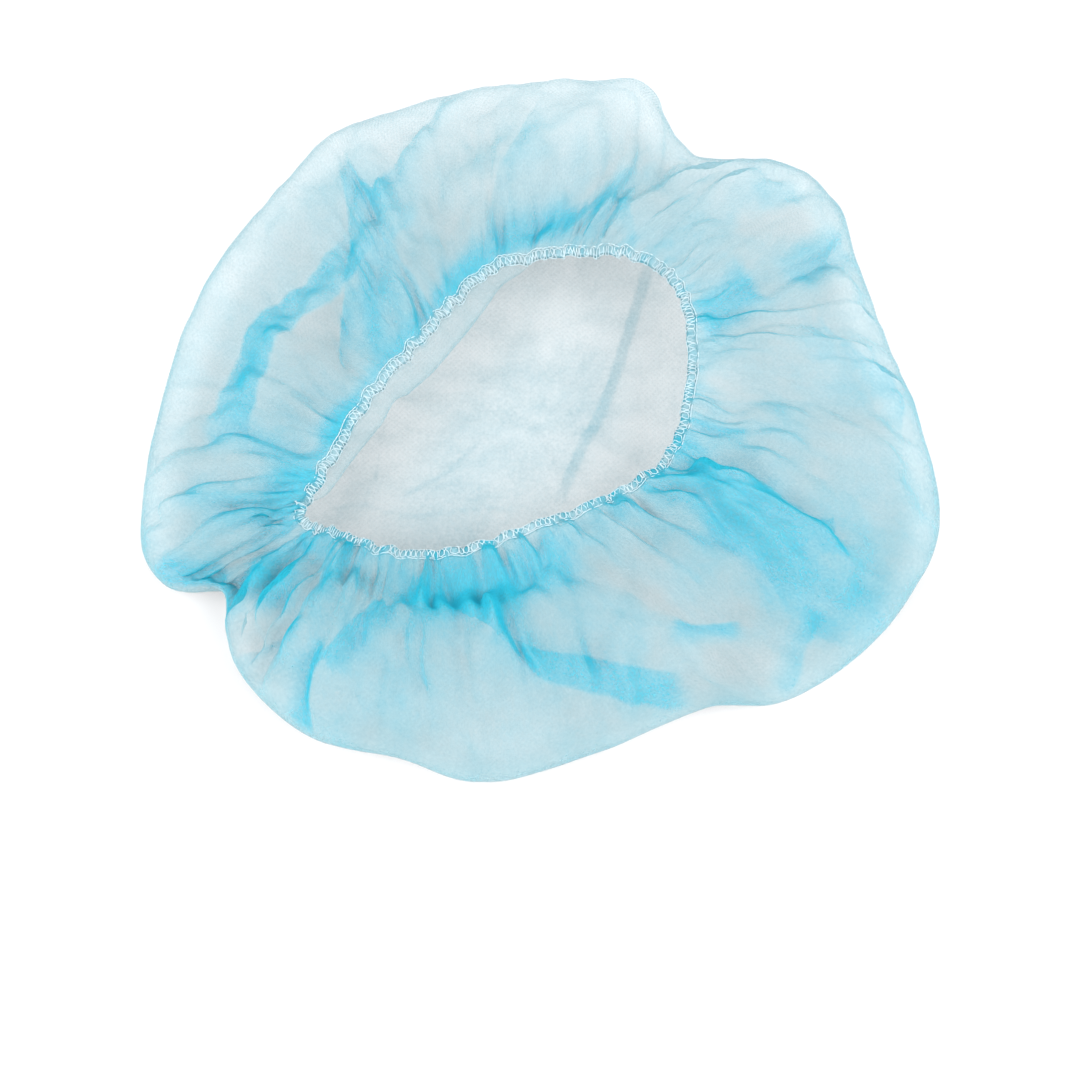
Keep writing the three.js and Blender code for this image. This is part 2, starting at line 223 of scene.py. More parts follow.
# Laid folds, where the fabric lies on itself: points along each as shares of half the cap, how far the
# fold spreads to its left and to its right in metres, the side where it fades away, and the layers that it
# adds. The other sides are crisp edges. They take turns over three sets, and folds of one set don't cross.
laidFolds = [
    ([(-0.46, 0.45), (-0.57, 0.28), (-0.65, 0.21), (-0.71, 0.13), (-0.76, -0.02), (-0.79, -0.12)],
     0.0085, 0.0085, "", 2.3),
    ([(-0.55, 0.75), (-0.52, 0.48), (-0.51, 0.4), (-0.51, 0.2), (-0.51, 0.02)],
     0.02, 0.0, "left", 1.05),
    ([(-0.54, 0.73), (-0.42, 0.54), (-0.36, 0.38), (-0.3, 0.24), (-0.25, 0.14)],
     0.0, 0.022, "right", 1.05),
    ([(-0.47, 0.36), (-0.43, 0.22), (-0.4, 0.06)], 0.003, 0.003, "both", 1.2),
    ([(-0.49, 0.28), (-0.5, 0.16), (-0.5, 0.04)], 0.004, 0.0002, "left", 1.0),
    ([(-0.22, 0.95), (-0.32, 0.73), (-0.38, 0.61), (-0.42, 0.5)], 0.008, 0.003, "left", 1.0),
    ([(0.01, 0.88), (-0.07, 0.67), (-0.12, 0.53), (-0.15, 0.4)], 0.012, 0.0, "left", 0.9),
    ([(0.3, 0.76), (0.16, 0.56), (0.05, 0.48), (-0.05, 0.42), (-0.16, 0.37)], 0.008, 0.001, "left", 1.1),
    ([(0.22, 0.56), (0.15, 0.47), (0.06, 0.39)], 0.007, 0.0, "left", 0.6),
    ([(0.22, 0.56), (0.24, 0.46), (0.25, 0.33)], 0.0, 0.006, "right", 0.8),
    ([(0.38, 0.14), (0.45, 0.21), (0.49, 0.25), (0.55, 0.31)], 0.01, 0.01, "both", 2.6),
    ([(0.8, 0.45), (0.72, 0.37), (0.63, 0.29)], 0.01, 0.01, "both", 1.7),
    ([(0.55, 0.54), (0.62, 0.58), (0.7, 0.57)], 0.006, 0.006, "both", 0.6),
    ([(0.7, 0.21), (0.76, 0.11), (0.83, 0.06), (0.89, -0.02), (0.92, -0.14)], 0.0, 0.012, "right", 1.2),
    ([(0.74, 0.02), (0.82, -0.07)], 0.008, 0.008, "both", 0.7),
    ([(0.35, -0.1), (0.43, -0.13), (0.52, -0.15)], 0.0, 0.004, "right", 1.6),
    ([(0.33, -0.2), (0.41, -0.26), (0.5, -0.3), (0.63, -0.35), (0.74, -0.46)],
     0.0, 0.016, "right", 1.3),
    ([(0.34, -0.34), (0.45, -0.46), (0.52, -0.51), (0.59, -0.64)], 0.014, 0.0, "left", 1.0),
    ([(0.35, -0.25), (0.46, -0.34), (0.6, -0.43), (0.75, -0.5), (0.88, -0.53)],
     0.016, 0.016, "both", 0.8),
    ([(0.37, -0.39), (0.46, -0.48), (0.55, -0.53)], 0.0004, 0.0035, "right", 1.4),
    ([(0.7, -0.37), (0.72, -0.5)], 0.003, 0.008, "right", 1.6),
    ([(0.31, -0.645), (0.37, -0.665), (0.48, -0.65)], 0.0018, 0.0055, "right", 2.2),
    ([(-0.13, -0.68), (0.0, -0.72), (0.11, -0.73), (0.2, -0.74), (0.36, -0.75)],
     0.0, 0.014, "right", 1.7),
    ([(-0.09, -0.73), (0.0, -0.81), (0.09, -0.83), (0.22, -0.84), (0.4, -0.82)],
     0.016, 0.0, "left", 1.5),
    ([(-0.11, -0.6), (-0.09, -0.69), (-0.01, -0.8)], 0.006, 0.002, "left", 1.4),
    ([(0.66, -0.6), (0.63, -0.69), (0.57, -0.81)], 0.003, 0.007, "right", 1.3),
    ([(-0.36, -0.6), (-0.21, -0.63), (-0.06, -0.655)], 0.01, 0.0, "left", 2.4),
    ([(-0.34, -0.61), (-0.18, -0.59), (-0.09, -0.58), (0.08, -0.44)], 0.011, 0.009, "both", 3.2),
    ([(-0.72, -0.46), (-0.63, -0.55)], 0.004, 0.008, "right", 2.8),
    ([(-0.59, -0.33), (-0.58, -0.46)], 0.006, 0.0004, "left", 2.0),
    ([(-0.38, -0.57), (-0.45, -0.67), (-0.52, -0.76)], 0.01, 0.0, "left", 2.4),
    ([(-0.5, -0.72), (-0.55, -0.78), (-0.57, -0.92)], 0.0035, 0.006, "right", 1.8),
    ([(-0.55, -0.63), (-0.65, -0.68), (-0.75, -0.7)], 0.005, 0.0, "left", 1.5),
    ([(-0.88, -0.54), (-0.76, -0.5)], 0.008, 0.008, "both", 2.4),
    ([(-0.86, -0.14), (-0.72, -0.16), (-0.54, -0.26)], 0.009, 0.006, "both", 1.7),
    ([(-0.9, -0.3), (-0.72, -0.34), (-0.6, -0.32)], 0.0105, 0.0075, "both", 1.4),
    ([(0.5, -0.52), (0.68, -0.6), (0.86, -0.6)], 0.011, 0.009, "both", 1.25),
]

# The same for the creases that show in the crown, inside the opening.
crownFolds = [
    ([(0.31, 0.54), (0.24, 0.3), (0.17, 0.07), (0.1, -0.08), (0.04, -0.24)], 0.0022, 0.0022, "", 0.8),
    ([(-0.4, 0.03), (-0.42, -0.12), (-0.46, -0.24)], 0.0008, 0.0008, "", 0.5),
    ([(-0.15, -0.03), (-0.24, -0.13), (-0.38, -0.22)], 0.0008, 0.0008, "", 0.5),
    ([(-0.57, -0.24), (-0.45, -0.23), (-0.34, -0.26), (-0.16, -0.24), (0.0, -0.24)],
     0.0008, 0.0008, "", 0.5),
]

# Places where the fabric is only bunched, or lies thin: points, spread in metres, and the layers that it
# adds, or takes away where negative.
bunches = [
    ([(0.05, 0.5), (-0.15, 0.36), (-0.25, 0.2), (-0.39, 0.02), (-0.54, -0.24)], 0.007, 2.4),
    ([(-0.46, -0.1), (-0.49, -0.12)], 0.0078, 5.2),
    ([(-0.34, 0.04), (-0.3, 0.1)], 0.0065, 4.0),
    ([(-0.22, 0.24), (-0.16, 0.32)], 0.0065, 2.9),
    ([(0.3, -0.24), (0.38, -0.28)], 0.01, 2.2),
    ([(0.33, 0.12), (0.36, 0.02)], 0.008, 0.9),
    ([(-0.6, -0.28), (-0.56, -0.3)], 0.0078, 3.5),
    ([(-0.64, -0.54), (-0.66, -0.5)], 0.0091, 3.5),
    ([(-0.2, -0.58), (-0.12, -0.56)], 0.0104, 2.6),
    ([(-0.9, -0.5), (-0.78, -0.54)], 0.0091, 2.9),
    ([(-0.5, 0.3), (-0.58, 0.16), (-0.52, 0.1)], 0.0104, -0.9),
    ([(-0.7, 0.6), (-0.86, 0.3)], 0.013, -0.2),
    ([(0.27, -0.59), (0.48, -0.62)], 0.0065, -1.0),
    ([(0.29, -0.73), (0.52, -0.74)], 0.0078, -0.9),
    ([(0.2, -0.5), (0.26, -0.5)], 0.0117, -0.9),
    ([(0.56, 0.46), (0.67, 0.48)], 0.007, -1.4),
    ([(0.5, 0.34), (0.44, 0.3)], 0.008, -0.8),
    ([(-0.5, 0.8), (0.0, 0.9), (0.26, 0.92)], 0.026, -0.85),
    ([(-0.6, -0.62), (0.0, -0.66), (0.75, -0.56)], 0.045, 0.45),
    ([(0.55, -0.2), (0.85, 0.0), (0.9, -0.3)], 0.03, 0.25),
    ([(-0.1, 0.5), (-0.22, 0.42)], 0.012, -0.5),
    ([(0.6, 0.0), (0.66, -0.22)], 0.0208, -0.5),
    ([(-0.52, -0.78), (-0.34, -0.82)], 0.0169, 0.4),
    ([(0.44, -0.02), (0.5, -0.08)], 0.009, -0.9),
    ([(-0.7, -0.65), (-0.68, -0.62)], 0.0104, -0.9),
]

# The same in the crown, under the opening: painted shade, layers added so that its middle, where the most
# light falls in, reads darker.
crownPaintedShade = [
    ([(0.02, 0.08), (-0.26, -0.28)], 0.026, 0.6),
]

# Thin creases that stand up and catch the light, and are painted paler along them as a painted highlight:
# points, spread and rise in metres.
ridges = [
    ([(-0.46, -0.58), (-0.52, -0.74), (-0.55, -0.8)], 0.0014, 0.0008),
    ([(-0.55, -0.61), (-0.56, -0.74)], 0.0014, 0.0007),
    ([(-0.6, -0.46), (-0.66, -0.56)], 0.0014, 0.0006),
    ([(0.66, 0.24), (0.78, 0.02), (0.86, -0.12)], 0.0014, 0.0006),
    ([(0.3, 0.84), (0.16, 0.62), (0.0, 0.47)], 0.0014, 0.0006),
    ([(0.45, 0.7), (0.3, 0.7), (0.2, 0.64)], 0.0014, 0.0006),
    ([(0.66, -0.4), (0.63, -0.54)], 0.0014, 0.0006),
    ([(0.44, -0.26), (0.5, -0.36)], 0.0014, 0.0006),
]

# Clouds in the web of fibres: how many waves are summed, their length in metres, the share of layers.
clouds = [
    (24, 0.045, 0.09),
    (30, 0.018, 0.08),
    (34, 0.008, 0.06),
]

# How the folds stand up and end. Metres.
foldForm = {
    "height": 0.0010,
    "leastReach": 0.008,  # of a fold's relief
    "lean": 0.25,  # share of its way across that a fold is drawn together
    "crownHeight": 0.0003,
    "crownReach": 0.004,
    "start": 0.008,  # from the elastic, where the folds begin
    "endSharpness": 7.0,  # a fold rises, and dies away, over a seventh of its run
    "edgeBlur": 0.0016,  # over which a crisp edge shows through the fabric
    "edgeOverhang": 0.010,  # how far past a crisp edge its layers are kept, for the blur to cut
    "farOutside": -6.0,  # of every crisp edge, in blurs
    "ridgeHighlightLayers": 0.8,  # layers taken off along a thin crease, so that it is painted paler: a painted highlight
}

# How the gathers vary round the elastic, and how they bunch the fabric.
gatherForm = {
    "drift": 0.6,  # of the gathers along the elastic, in gathers
    "outerDrift": 1.1,  # and more where they run out over the cap
    "outerReach": 0.08,
    "usual": 0.8,  # their strength, how much it varies, and the most that it may be
    "varies": 0.5,
    "most": 1.9,
    "sharpness": 1.3,
    "pinchLayers": 0.4,  # share of the layers that the pinch between two gathers adds
    "leastFullness": 0.12,  # share of the gathered layers left where the fabric is hardly gathered
    "fullest": 3.6,  # layers
    "crownFullness": 0.6,  # the same all round, so that the crown's middle meets in one point
}

# Gathers, finest first: how many there are round the elastic, their height, and over what distance
# from the elastic they rise, hold and die away. Metres.
gatherBands = [
    (104, 0.0013, 0.003, 0.006, 0.006),
    (61, 0.0015, 0.005, 0.010, 0.009),
    (27, 0.0016, 0.012, 0.020, 0.018),
    (13, 0.0030, 0.040, 0.060, 0.050),
]

# Fine crumple all over: how many waves are summed, their length in metres, their height.
crumples = [
    (26, 0.060, 0.0034),
    (30, 0.032, 0.0018),
    (34, 0.013, 0.00035),
]


def smooth(share):
    share = np.clip(share, 0.0, 1.0)
    return share * share * (3 - 2 * share)


def loopThrough(points):
    # centripetal spline closed through the points, read at shares from 0 to 1
    points = np.asarray(points, float)
    count = len(points)

    def at(share):
        place = (np.asarray(share) % 1.0) * count
        whole = np.floor(place).astype(int) % count
        t = (place - np.floor(place))[:, None]
        p0, p1, p2, p3 = (points[(whole + k) % count] for k in (-1, 0, 1, 2))
        gaps = [np.linalg.norm(b - a, axis=1)[:, None] for a, b in ((p0, p1), (p1, p2), (p2, p3))]
        d0, d1, d2 = (np.sqrt(np.maximum(gap, 1e-9)) for gap in gaps)
        m1 = ((p1 - p0) / d0 - (p2 - p0) / (d0 + d1) + (p2 - p1) / d1) * d1
        m2 = ((p2 - p1) / d1 - (p3 - p1) / (d1 + d2) + (p3 - p2) / d2) * d1
        curve = p1 + m1 * t + (3 * (p2 - p1) - 2 * m1 - m2) * t**2
        return curve + (2 * (p1 - p2) + m1 + m2) * t**3

    return at


half = np.array([capForm["length"] / 2, capForm["depth"] / 2])
halfOpening = np.array([capForm["openingLength"] / 2, capForm["openingDepth"] / 2])
table = np.array(meridians)
edgeFlat = table[:, 0:2] * half
rimFlat = table[:, 2:4] * halfOpening + np.array(capForm["openingShift"])
edgeAt = loopThrough(np.column_stack([edgeFlat, np.full(len(table), capForm["edgeHeight"])]))
straightElasticAt = loopThrough(np.column_stack([rimFlat, table[:, 4] * capForm["openingHeight"]]))
crestAt = loopThrough(np.column_stack([table[:, 5] * capForm["puffHeight"], np.zeros(len(table))]))
lipAt = loopThrough(table[:, 6:8])


def wander(around, seed, lowest, highest, size):
    # smooth random wave round the loop, of about the size given
    random = np.random.default_rng(seed)
    total = np.zeros(np.shape(around))
    for turn in range(lowest, highest):
        total += random.normal() * np.sin(2 * math.pi * (turn * around + random.uniform()))
    return size * total / math.sqrt((highest - lowest) / 2)


def elasticAt(shares):
    # the hem's middle line, drawn a little out of true by the bunched fabric
    drifts = [wander(shares, seed, 12, 70, capForm["rimWaver"]) for seed in (1, 2, 3)]
    return straightElasticAt(shares) + np.column_stack(drifts)


def evenShares(count):
    # curve shares evenly spaced along the elastic and the widest line together
    steps = np.linspace(0, 1, 4000, endpoint=False)
    moved = sum(np.linalg.norm(at(steps + 1 / 4000) - at(steps), axis=1) for at in (elasticAt, edgeAt))
    travelled = np.concatenate([[0], np.cumsum(moved)])
    wanted = np.arange(count) / count * travelled[-1]
    return np.interp(wanted, travelled, np.linspace(0, 1, 4001))


def outwardAt(shares):
    # level direction out of the opening, square to the elastic
    along = straightElasticAt(shares + 0.0005) - straightElasticAt(shares - 0.0005)
    out = np.column_stack([along[:, 1], -along[:, 0], np.zeros(len(shares))])
    return out / np.linalg.norm(out, axis=1)[:, None]


def cadShift():
    # how far the CAD model was moved to put its origin under its middle
    low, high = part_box("elastic_band")
    shares = evenShares(1200)
    loop = elasticAt(shares)
    across = outwardAt(shares) * capForm["elasticWidth"] / 2
    ends = np.concatenate([loop + across, loop - across])
    middle = (ends.min(0) + ends.max(0)) / 2
    shift = (np.array(low) + np.array(high)) / 2 - middle
    return np.array([shift[0], shift[1], 0.0])


hemHalfWidth = capForm["elasticWidth"] / 2 + capForm["hemSlack"]
hemHalfHeight = capForm["elasticThick"] / 2 + capForm["hemSlack"]
upward = np.array([0.0, 0.0, 1.0])


def hemPoint(shares, degrees):
    angle = math.radians(degrees)
    across = outwardAt(shares) * hemHalfWidth * math.cos(angle)
    return elasticAt(shares) + across + upward * hemHalfHeight * math.sin(angle)


def lipPoint(shares, share, hemDegrees):
    # the fabric's free end: rolled under the elastic, or hanging inwards as a lip where there is one
    lip = lipAt(shares)[:, 0:1]
    out = outwardAt(shares)
    root = hemPoint(shares, hemDegrees)
    drift = elasticAt(shares) - straightElasticAt(shares)
    down = capForm["lipDown"] + capForm["lipCurl"] * share
    hanging = root - drift * share - out * lip * share * capForm["lipInward"] - upward * lip * share * down
    rolled = hemPoint(shares, hemDegrees + capForm["hemOverlap"] * share)
    lipRange = capForm["longLip"] - capForm["shortLip"]
    return rolled + (hanging - rolled) * smooth((lip - capForm["shortLip"]) / lipRange)


def puffPoint(shares, share):
    start = elasticAt(shares) + upward * hemHalfHeight
    edge = edgeAt(shares)
    crest = np.maximum(crestAt(shares)[:, 0], start[:, 2])
    top = start[:, 2] + (crest - start[:, 2]) * smooth(share / capForm["crestShare"])
    dome = (1 - share ** capForm["domeReach"]) ** (1 / capForm["domeFall"])
    point = start + (edge - start) * share
    point[:, 2] = capForm["edgeHeight"] + (top - capForm["edgeHeight"]) * dome
    return point


def tuckPoint(shares, degrees):
    angle = math.radians(degrees)
    edge = edgeAt(shares)
    inward = -edge * np.array([1.0, 1.0, 0.0])
    inward /= np.linalg.norm(inward, axis=1)[:, None]
    point = edge + inward * capForm["crownTuck"] * (1 - math.cos(angle))
    floorLine = capForm["floorGap"]
    point[:, 2] = floorLine + (capForm["edgeHeight"] - floorLine) * (1 - math.sin(angle))
    return point


def crownPoint(shares, share):
    point = tuckPoint(shares, 90) * (1 - share)
    point[:, 2] = capForm["floorGap"]
    return point


def swellRise(place):
    unit = capForm["puffHeight"]
    rise = np.zeros(place.shape[:-1])
    for fromX, fromY, toX, toY, spread, height in swells:
        start = np.array([fromX, fromY]) * half
        run = np.array([toX, toY]) * half - start
        offset = place[..., :2] - start
        along = np.clip((offset @ run) / (run @ run), 0, 1)
        away = np.linalg.norm(offset - along[..., None] * run, axis=-1) / (spread * unit)
        rise += height * unit * np.exp(-away * away)
    return rise


def waveField(place, count, length, seed):
    # smooth random field of about one height, made of plane waves
    random = np.random.default_rng(seed)
    total = np.zeros(place.shape[:-1])
    for _ in range(count):
        heading = random.uniform(0, 2 * math.pi)
        stretch = random.uniform(0.7, 1.4)
        phase = random.uniform(0, 2 * math.pi)
        push = 2 * math.pi / (length * stretch)
        along = place[..., 0] * math.cos(heading) + place[..., 1] * math.sin(heading)
        total += np.cos(push * along + phase)
    return total / math.sqrt(count / 2)


def gatherRelief(around, distance):
    # height of the gathers and, where they pinch, the extra layers of fabric
    form = gatherForm
    height = np.zeros(distance.shape)
    pinch = np.zeros(distance.shape)
    for band, (count, size, start, hold, fade) in enumerate(gatherBands):
        outer = wander(around, 20 + band, 2, 12, form["outerDrift"]) * distance / form["outerReach"]
        drift = wander(around, 10 + band, 2, 30, form["drift"]) + outer
        uneven = wander(around, 30 + band, 2, count // 2, form["varies"])
        strength = np.clip(form["usual"] + uneven, 0.0, form["most"])
        wave = np.abs(np.sin(math.pi * (count * around + drift))) ** form["sharpness"]
        window = smooth(distance / start) * np.exp(-np.maximum(0, distance - hold) / fade)
        height += size * strength * window * (2 * wave - 1.2)
        near = np.exp(-distance / (0.6 * hold + fade))
        pinch += strength * near * (0.6 - wave)
    return height, pinch


def foldPath(points):
    # points every few millimetres along a fold, and the way across it
    corners = np.array(points) * half
    if len(corners) == 2:
        corners = np.array([corners[0], corners.mean(0), corners[1]])
    ends = np.vstack([2 * corners[0] - corners[1], corners, 2 * corners[-1] - corners[-2]])
    path = []
    for k in range(len(corners) - 1):
        p0, p1, p2, p3 = ends[k:k + 4]
        for t in np.linspace(0, 1, 12, endpoint=False):
            path.append(0.5 * (2 * p1 + (p2 - p0) * t + (2 * p0 - 5 * p1 + 4 * p2 - p3) * t**2
                               + (3 * p1 - p0 - 3 * p2 + p3) * t**3))
    path = np.array(path + [corners[-1]])
    along = np.gradient(path, axis=0)
    along /= np.linalg.norm(along, axis=1)[:, None]
    return path, np.column_stack([-along[:, 1], along[:, 0]])


def nearFold(points, place):
    # signed distance to a fold, left of its run positive, the way across it, and a taper at its ends
    path, across = foldPath(points)
    offset = place[..., None, :2] - path
    nearest = np.argmin((offset**2).sum(-1), axis=-1)
    share = nearest / (len(path) - 1)
    gap = np.linalg.norm(place[..., :2] - path[nearest], axis=-1)
    side = ((place[..., :2] - path[nearest]) * across[nearest]).sum(-1)
    pastEnd = (nearest == 0) | (nearest == len(path) - 1)
    side = np.where(pastEnd, np.copysign(gap, side), side)
    sharpness = foldForm["endSharpness"]
    return side, across[nearest], smooth(share * sharpness) * smooth((1 - share) * sharpness)


def foldProfile(side, left, right):
    # 1 along the fold, falling off over its reach to either side
    reach = np.where(side > 0, left, right)
    return np.exp(-np.abs(side / reach) ** 3)


def layFolds(folds, plan, shown, edges, folded, extra):
    # adds each fold's layers: to the fabric itself if it fades both ways, and else behind its crisp edges
    overhang = foldForm["edgeOverhang"]
    for turn, (points, left, right, soft, more) in enumerate(folds):
        side, way, ends = nearFold(points, plan)
        if soft == "both":
            extra += more * foldProfile(side, left, right) * ends * shown
            continue
        leftFade = left if soft == "left" else left + overhang
        rightFade = right if soft == "right" else right + overhang
        leftEnd = 2 * left if soft == "left" else left
        rightEnd = 2 * right if soft == "right" else right
        inside = np.minimum(leftEnd - side, rightEnd + side)
        edges[..., turn % 3] = np.maximum(edges[..., turn % 3], 0.5 + inside / foldForm["edgeBlur"])
        folded[..., turn % 3] += more * foldProfile(side, leftFade, rightFade) * ends * shown


def gridNormals(grid):
    down = np.gradient(grid, axis=0)
    around = (np.roll(grid, -1, axis=1) - np.roll(grid, 1, axis=1)) / 2
    normal = np.cross(around, down)
    return normal / np.maximum(np.linalg.norm(normal, axis=-1), 1e-12)[..., None]


def relaxed(grid, weight, rounds):
    for _ in range(rounds):
        mean = (np.roll(grid, -1, axis=1) + np.roll(grid, 1, axis=1)) / 4
        mean[1:-1] += (grid[2:] + grid[:-2]) / 4
        mean[0] += grid[0] / 2
        mean[-1] += grid[-1] / 2
        grid = grid + (mean - grid) * weight
    return grid


def fabricRows(shares):
    # the fabric before its folds, row by row from its free end to the middle of the crown
    form = capForm
    hemStart = form["hemStart"]
    puffShares = np.linspace(0, 1, form["puffRows"], endpoint=False) ** form["puffRowCrowding"]
    crownShares = 1 - np.linspace(1, 0, form["crownRows"]) ** (1 / form["crownRowCrowding"])
    parts = [
        [lipPoint(shares, q, hemStart) for q in np.linspace(1, 0, form["lipRows"], endpoint=False)],
        [hemPoint(shares, a) for a in np.linspace(hemStart, 90, form["hemRows"], endpoint=False)],
        [puffPoint(shares, share) for share in puffShares],
        [tuckPoint(shares, a) for a in np.linspace(0, 90, form["tuckRows"], endpoint=False)],
        [crownPoint(shares, share) for share in crownShares],
    ]
    ends = np.cumsum([len(part) for part in parts])
    puffShare = np.ones(ends[-1])
    puffShare[:ends[1]] = 0
    puffShare[ends[1]:ends[2]] = puffShares
    return np.array([row for part in parts for row in part]), ends, puffShare


def gatheredLayers(grid, steps, crownStart):
    # where each point lies on the flat disc, and how many layers of it are gathered there
    columns = capForm["columns"]
    fromMiddle = np.vstack([np.cumsum(steps[::-1], axis=0)[::-1], np.zeros((1, columns))])
    flatRadius = capForm["flatRadius"] * fromMiddle / fromMiddle[0].mean()
    flatAngle = 2 * math.pi * np.arange(columns) / columns
    flat = np.stack([flatRadius * np.cos(flatAngle), flatRadius * np.sin(flatAngle)], axis=-1)
    spacing = np.linalg.norm(np.roll(grid, -1, axis=1) - grid, axis=-1)
    layers = flatRadius * (2 * math.pi / columns) / np.maximum(spacing, 1e-5)
    layers[crownStart:] = 1.0
    layers = np.clip(relaxed(layers[..., None], 1.0, 6)[..., 0], 1.0, gatherForm["fullest"])
    return flat, layers


def raiseFolds(grid, plan, normal, away, onlyCrown):
    # the low relief of the swells, the folds and the thin creases
    grid[..., 2] += swellRise(plan) * away
    for points, left, right, soft, more in crownFolds:
        side, way, ends = nearFold(points, plan)
        reach = foldForm["crownReach"]
        grid[..., 2] += foldForm["crownHeight"] * foldProfile(side, reach, reach) * ends * onlyCrown
    for points, left, right, soft, more in laidFolds:
        side, way, ends = nearFold(points, plan)
        leftReach, rightReach = (max(reach, foldForm["leastReach"]) for reach in (left, right))
        eased = foldProfile(side, leftReach, rightReach) * ends * away
        grid[..., 2] += foldForm["height"] * eased
        grid[..., :2] -= way * (side * eased * foldForm["lean"])[..., None]
    for points, spread, rise in ridges:
        side, way, ends = nearFold(points, plan)
        grid += normal * (rise * (foldProfile(side, spread, spread) * ends * away))[..., None]


def laidLayers(plan, distance, away, onPuff, onlyCrown):
    # the layers that folds and bunches add, the painted shade in the crown and the painted highlight along
    # thin creases, and the crisp edges that bound them
    extra = np.zeros(plan.shape[:2])
    extra[0] = capForm["lipEdgeLayers"]
    edges = np.full(plan.shape[:2] + (3,), foldForm["farOutside"])
    crownEdges = edges.copy()
    folded = np.zeros(plan.shape[:2] + (3,))
    layFolds(laidFolds, plan, smooth(distance / foldForm["start"]) * onPuff, edges, folded, extra)
    layFolds(crownFolds, plan, onlyCrown, crownEdges, folded, extra)
    edges = np.where(onlyCrown[..., None] > 0, crownEdges, edges)
    for points, spread, more in bunches:
        side, way, ends = nearFold(points, plan)
        extra += more * foldProfile(side, spread, spread) * smooth(distance / capForm["bunchStart"]) * onPuff
    # painted shade: extra layers that darken the crown's middle
    for points, spread, more in crownPaintedShade:
        side, way, ends = nearFold(points, plan)
        extra += more * foldProfile(side, spread, spread) * onlyCrown
    # painted highlight: the thin creases are drawn paler
    for points, spread, rise in ridges:
        side, way, ends = nearFold(points, plan)
        extra -= foldForm["ridgeHighlightLayers"] * (foldProfile(side, spread, spread) * ends * away)
    return extra, edges, folded


def fabricGrid():
    form = capForm
    shares = evenShares(form["columns"])
    around = np.arange(form["columns"]) / form["columns"]
    grid, (lipEnd, hemEnd, puffEnd, crownStart, last), puffShare = fabricRows(shares)
    steps = np.linalg.norm(np.diff(grid, axis=0), axis=-1)
    flat, layers = gatheredLayers(grid, steps, crownStart)
    gathered = lipAt(shares)[:, 1]
    least = gatherForm["leastFullness"]
    layers = 1 + (layers - 1) * (least + (1 - least) * gathered)
    # painted light: the lip is drawn thinner than one layer so that it reads paler in the shade under the
    # hem
    layers[:lipEnd] = form["lipLayers"]
    distance = np.zeros(grid.shape[:2])
    distance[hemEnd:] = np.cumsum(np.vstack([np.zeros((1, form["columns"])), steps[hemEnd:]]), axis=0)

    # how far each row takes part: in the puff, in the upper fabric with its tuck, in the crown
    row = np.arange(last)
    onPuff = ((row >= hemEnd) & (row < puffEnd)).astype(float)[:, None]
    upper = np.clip((crownStart - row) / (crownStart - puffEnd), 0, 1)[:, None]
    inCrown = (row >= crownStart).astype(float)[:, None]
    calm = np.where(row < puffEnd, smooth((1 - puffShare) / form["calmReach"]), 0.0)[:, None]
    onlyCrown = inCrown * np.ones(grid.shape[:2])
    away = smooth(distance / form["reliefStart"]) * calm * onPuff
    calmCrumple = form["calmCrumple"]
    crumpled = np.maximum(calmCrumple + (1 - calmCrumple) * calm, form["crownCrumple"] * (1 - upper))

    height, pinch = gatherRelief(around[None, :], distance)
    height *= calm * gathered
    pinch *= upper * gathered
    evenCrown = gatherForm["crownFullness"]
    fullness = 0.5 + 0.5 * (evenCrown + (gathered - evenCrown) * upper)
    for band, (count, length, size) in enumerate(crumples):
        ridged = (0.8 - np.abs(waveField(flat, count, length, 40 + band))) * size
        height += ridged * smooth(distance / form["crumpleStart"]) * crumpled * fullness
    normal = gridNormals(grid)
    relief = normal * height[..., None]
    relief[crownStart:] = upward * np.abs(height[crownStart:])[..., None]
    plan = grid.copy()
    grid = grid + relief
    raiseFolds(grid, plan, normal, away, onlyCrown)
    extra, edges, folded = laidLayers(plan, distance, away, onPuff, onlyCrown)

    layers = layers * (1 + gatherForm["pinchLayers"] * pinch)
    for band, (count, length, size) in enumerate(clouds):
        layers *= 1 + size * waveField(flat, count, length, 60 + band)
    layers = relaxed(np.clip(layers + extra, 0.5, 10.0)[..., None], 0.4, 1)[..., 0]
    grid = relaxed(grid, 0.4, 1)
    grid[..., 2] = np.maximum(grid[..., 2], form["floorGap"] / 2)
    values = {"fabricLayers": layers, "foldEdges": np.maximum(edges, foldForm["farOutside"]),
              "foldLayers": folded}
    return grid + cadShift(), flat, values


def sewnPiece(bm, name):
    # closes the seams and poles, turns the faces outwards and makes the object
    bmesh.ops.remove_doubles(bm, verts=bm.verts, dist=1e-7)
    bmesh.ops.recalc_face_normals(bm, faces=bm.faces)
    for face in bm.faces:
        face.smooth = True
    mesh = bpy.data.meshes.new(name)
    bm.to_mesh(mesh)
    bm.free()
    piece = bpy.data.objects.new(name, mesh)
    scene.collection.objects.link(piece)
    return piece


